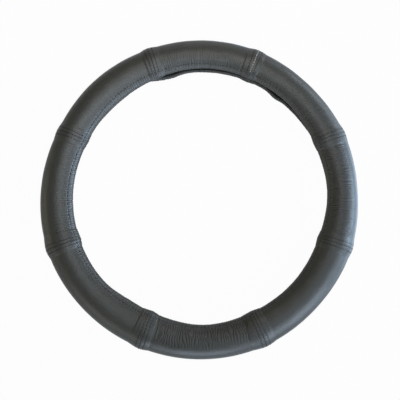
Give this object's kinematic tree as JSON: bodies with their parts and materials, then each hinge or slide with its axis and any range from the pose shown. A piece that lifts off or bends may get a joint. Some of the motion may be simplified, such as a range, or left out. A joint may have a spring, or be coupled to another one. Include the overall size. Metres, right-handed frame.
{
  "type": "steering wheel cover",
  "caption": "Leather cover that snaps over the rim of a steering wheel: a round tube, open towards the hub, of sewn leather panels over a springy rubber ring.",
  "frame": {"origin": "middle of the outline, at the surface that the cover lies on", "axes": "+Z along the ring's axis towards the driver's side, +Y towards the top of the picture, +X towards its right"},
  "size_m": [0.3774, 0.38, 0.0383],
  "materials": {
    "leather": "satin, fine pebble grain",
    "rubber": "matt, moulded",
    "thread": "twisted polyester thread"
  },
  "bodies": {
    "root": {"panel_top": "leather", "panel_upper_left": "leather", "panel_left": "leather", "panel_lower_left": "leather", "panel_bottom": "leather", "panel_lower_right": "leather", "panel_right": "leather", "panel_upper_right": "leather", "inner_ring": "rubber", "seam_thread_1": "thread", "topstitch_1_before": "thread", "topstitch_1_after": "thread", "seam_thread_2": "thread", "topstitch_2_before": "thread", "topstitch_2_after": "thread", "seam_thread_3": "thread", "topstitch_3_before": "thread", "topstitch_3_after": "thread", "seam_thread_4": "thread", "topstitch_4_before": "thread", "topstitch_4_after": "thread", "seam_thread_5": "thread", "topstitch_5_before": "thread", "topstitch_5_after": "thread", "seam_thread_6": "thread", "topstitch_6_before": "thread", "topstitch_6_after": "thread", "seam_thread_7": "thread", "topstitch_7_before": "thread", "topstitch_7_after": "thread", "seam_thread_8": "thread", "topstitch_8_before": "thread", "topstitch_8_after": "thread", "hem_thread_front": "thread", "hem_thread_rear": "thread"}
  },
  "joints": []
}
